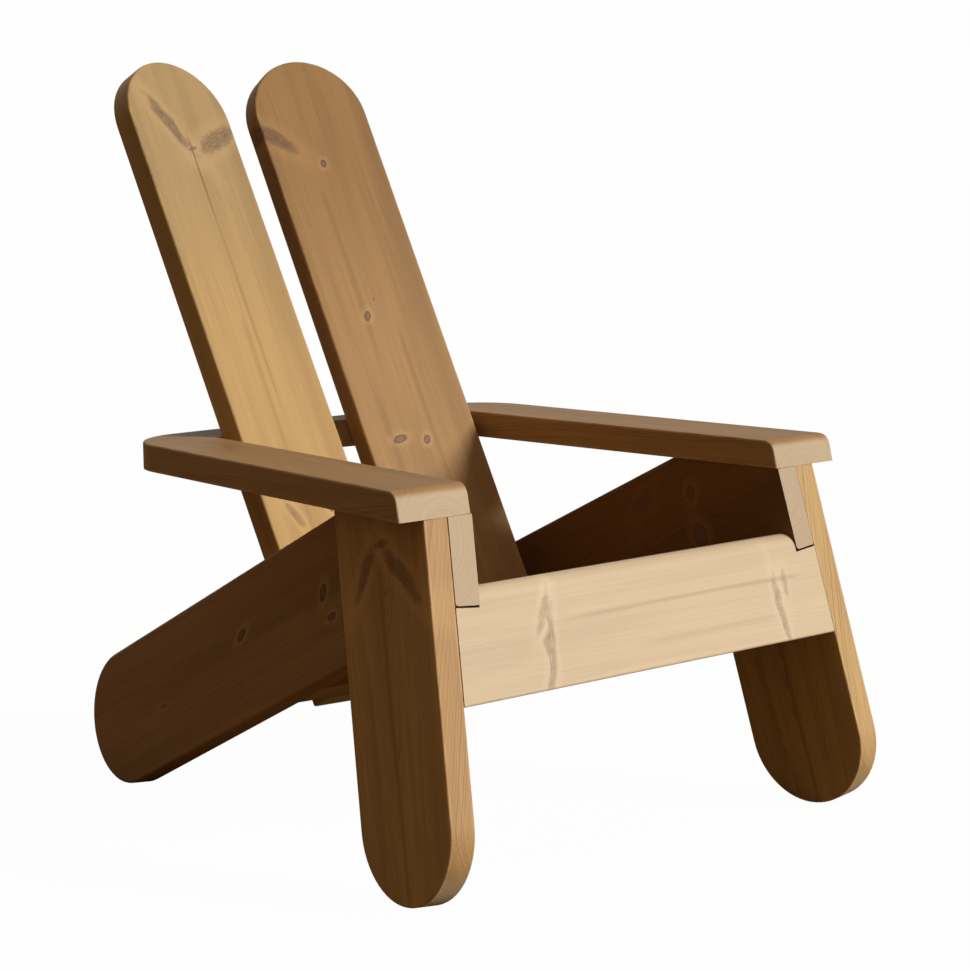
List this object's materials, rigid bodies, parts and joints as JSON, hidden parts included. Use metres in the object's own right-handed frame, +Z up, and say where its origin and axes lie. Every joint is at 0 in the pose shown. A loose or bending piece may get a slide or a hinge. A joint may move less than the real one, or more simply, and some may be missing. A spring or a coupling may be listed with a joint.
{
  "type": "wooden armchair",
  "caption": "Low lounge armchair of thick pine boards with round feet, level armrests, a sloping plank seat and a reclined back of round-topped boards.",
  "frame": {"origin": "on the floor under the middle of the bounding box", "axes": "+Z up, the sitter faces -Y, +X to the right of somebody who looks at the chair from its front"},
  "size_m": [0.7962, 0.9957, 1.0596],
  "materials": {
    "pine": "satin oiled softwood",
    "beech": "bare turned hardwood",
    "steel": "zinc-plated, satin"
  },
  "bodies": {
    "root": {"apron_dowel_left_1": "beech", "apron_dowel_left_2": "beech", "apron_dowel_right_1": "beech", "apron_dowel_right_2": "beech", "arm_leg_dowel_left": "beech", "arm_leg_dowel_right": "beech", "arm_side_dowel_left": "beech", "arm_side_dowel_right": "beech", "armrest_left": "pine", "armrest_right": "pine", "back_board_left": "pine", "back_board_right": "pine", "front_apron": "pine", "front_leg_left": "pine", "front_leg_right": "pine", "leg_dowel_left_1": "beech", "leg_dowel_left_2": "beech", "leg_dowel_left_3": "beech", "leg_dowel_right_1": "beech", "leg_dowel_right_2": "beech", "leg_dowel_right_3": "beech", "lower_back_rail": "pine", "lower_rail_dowel_left_1": "beech", "lower_rail_dowel_left_2": "beech", "lower_rail_dowel_right_1": "beech", "lower_rail_dowel_right_2": "beech", "lower_rail_screw_left_1": "steel", "lower_rail_screw_left_2": "steel", "lower_rail_screw_right_1": "steel", "lower_rail_screw_right_2": "steel", "mitre_dowel_left": "beech", "mitre_dowel_right": "beech", "rear_rail": "pine", "rear_rail_screw_left_1": "steel", "rear_rail_screw_left_2": "steel", "rear_rail_screw_right_1": "steel", "rear_rail_screw_right_2": "steel", "seat_dowel_left_1": "beech", "seat_dowel_left_2": "beech", "seat_dowel_left_3": "beech", "seat_dowel_left_4": "beech", "seat_dowel_left_5": "beech", "seat_dowel_left_6": "beech", "seat_dowel_right_1": "beech", "seat_dowel_right_2": "beech", "seat_dowel_right_3": "beech", "seat_dowel_right_4": "beech", "seat_dowel_right_5": "beech", "seat_dowel_right_6": "beech", "seat_plank_front": "pine", "seat_plank_middle": "pine", "seat_plank_rear": "pine", "side_board_left": "pine", "side_board_right": "pine"}
  },
  "joints": []
}
